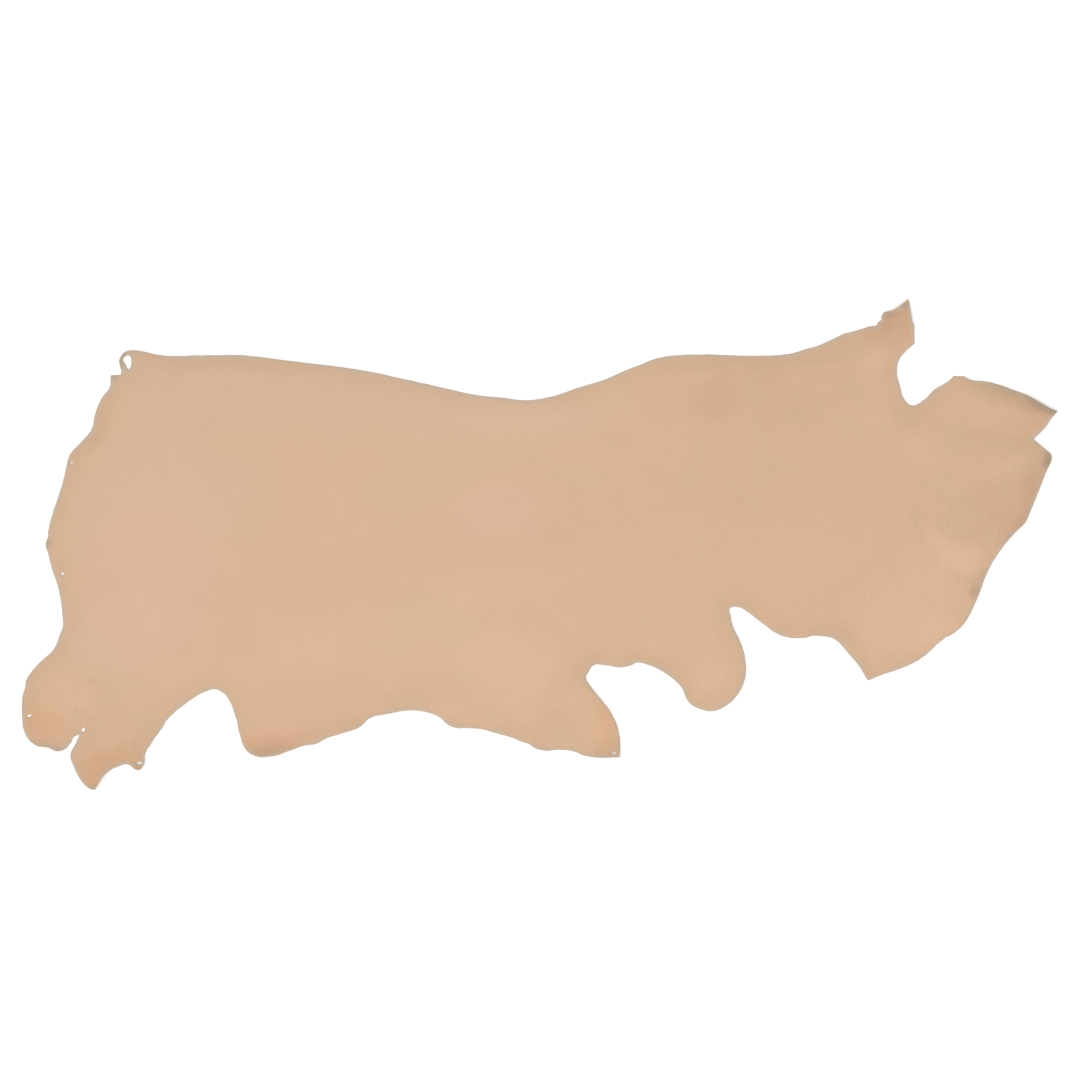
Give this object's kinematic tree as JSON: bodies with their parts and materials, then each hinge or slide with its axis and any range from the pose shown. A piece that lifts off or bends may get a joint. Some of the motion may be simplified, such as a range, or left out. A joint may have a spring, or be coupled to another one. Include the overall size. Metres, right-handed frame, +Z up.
{
  "type": "leather hide",
  "caption": "Undyed vegetable-tanned side of cowhide laid flat, grain up, with its natural outline of shanks, flank, neck and torn tail root.",
  "frame": {"origin": "on the surface that the hide lies on, under the middle of its bounding box", "axes": "+X from the butt to the neck, +Y from the belly to the back edge, +Z up through the grain side"},
  "size_m": [2.4018, 1.1359, 0.0112],
  "materials": {
    "natural_leather": "undyed vegetable-tanned leather with a smooth, faintly satin grain side, a matt fibrous flesh side and a raw cut edge"
  },
  "bodies": {
    "root": {"hide": "natural_leather"}
  },
  "joints": []
}
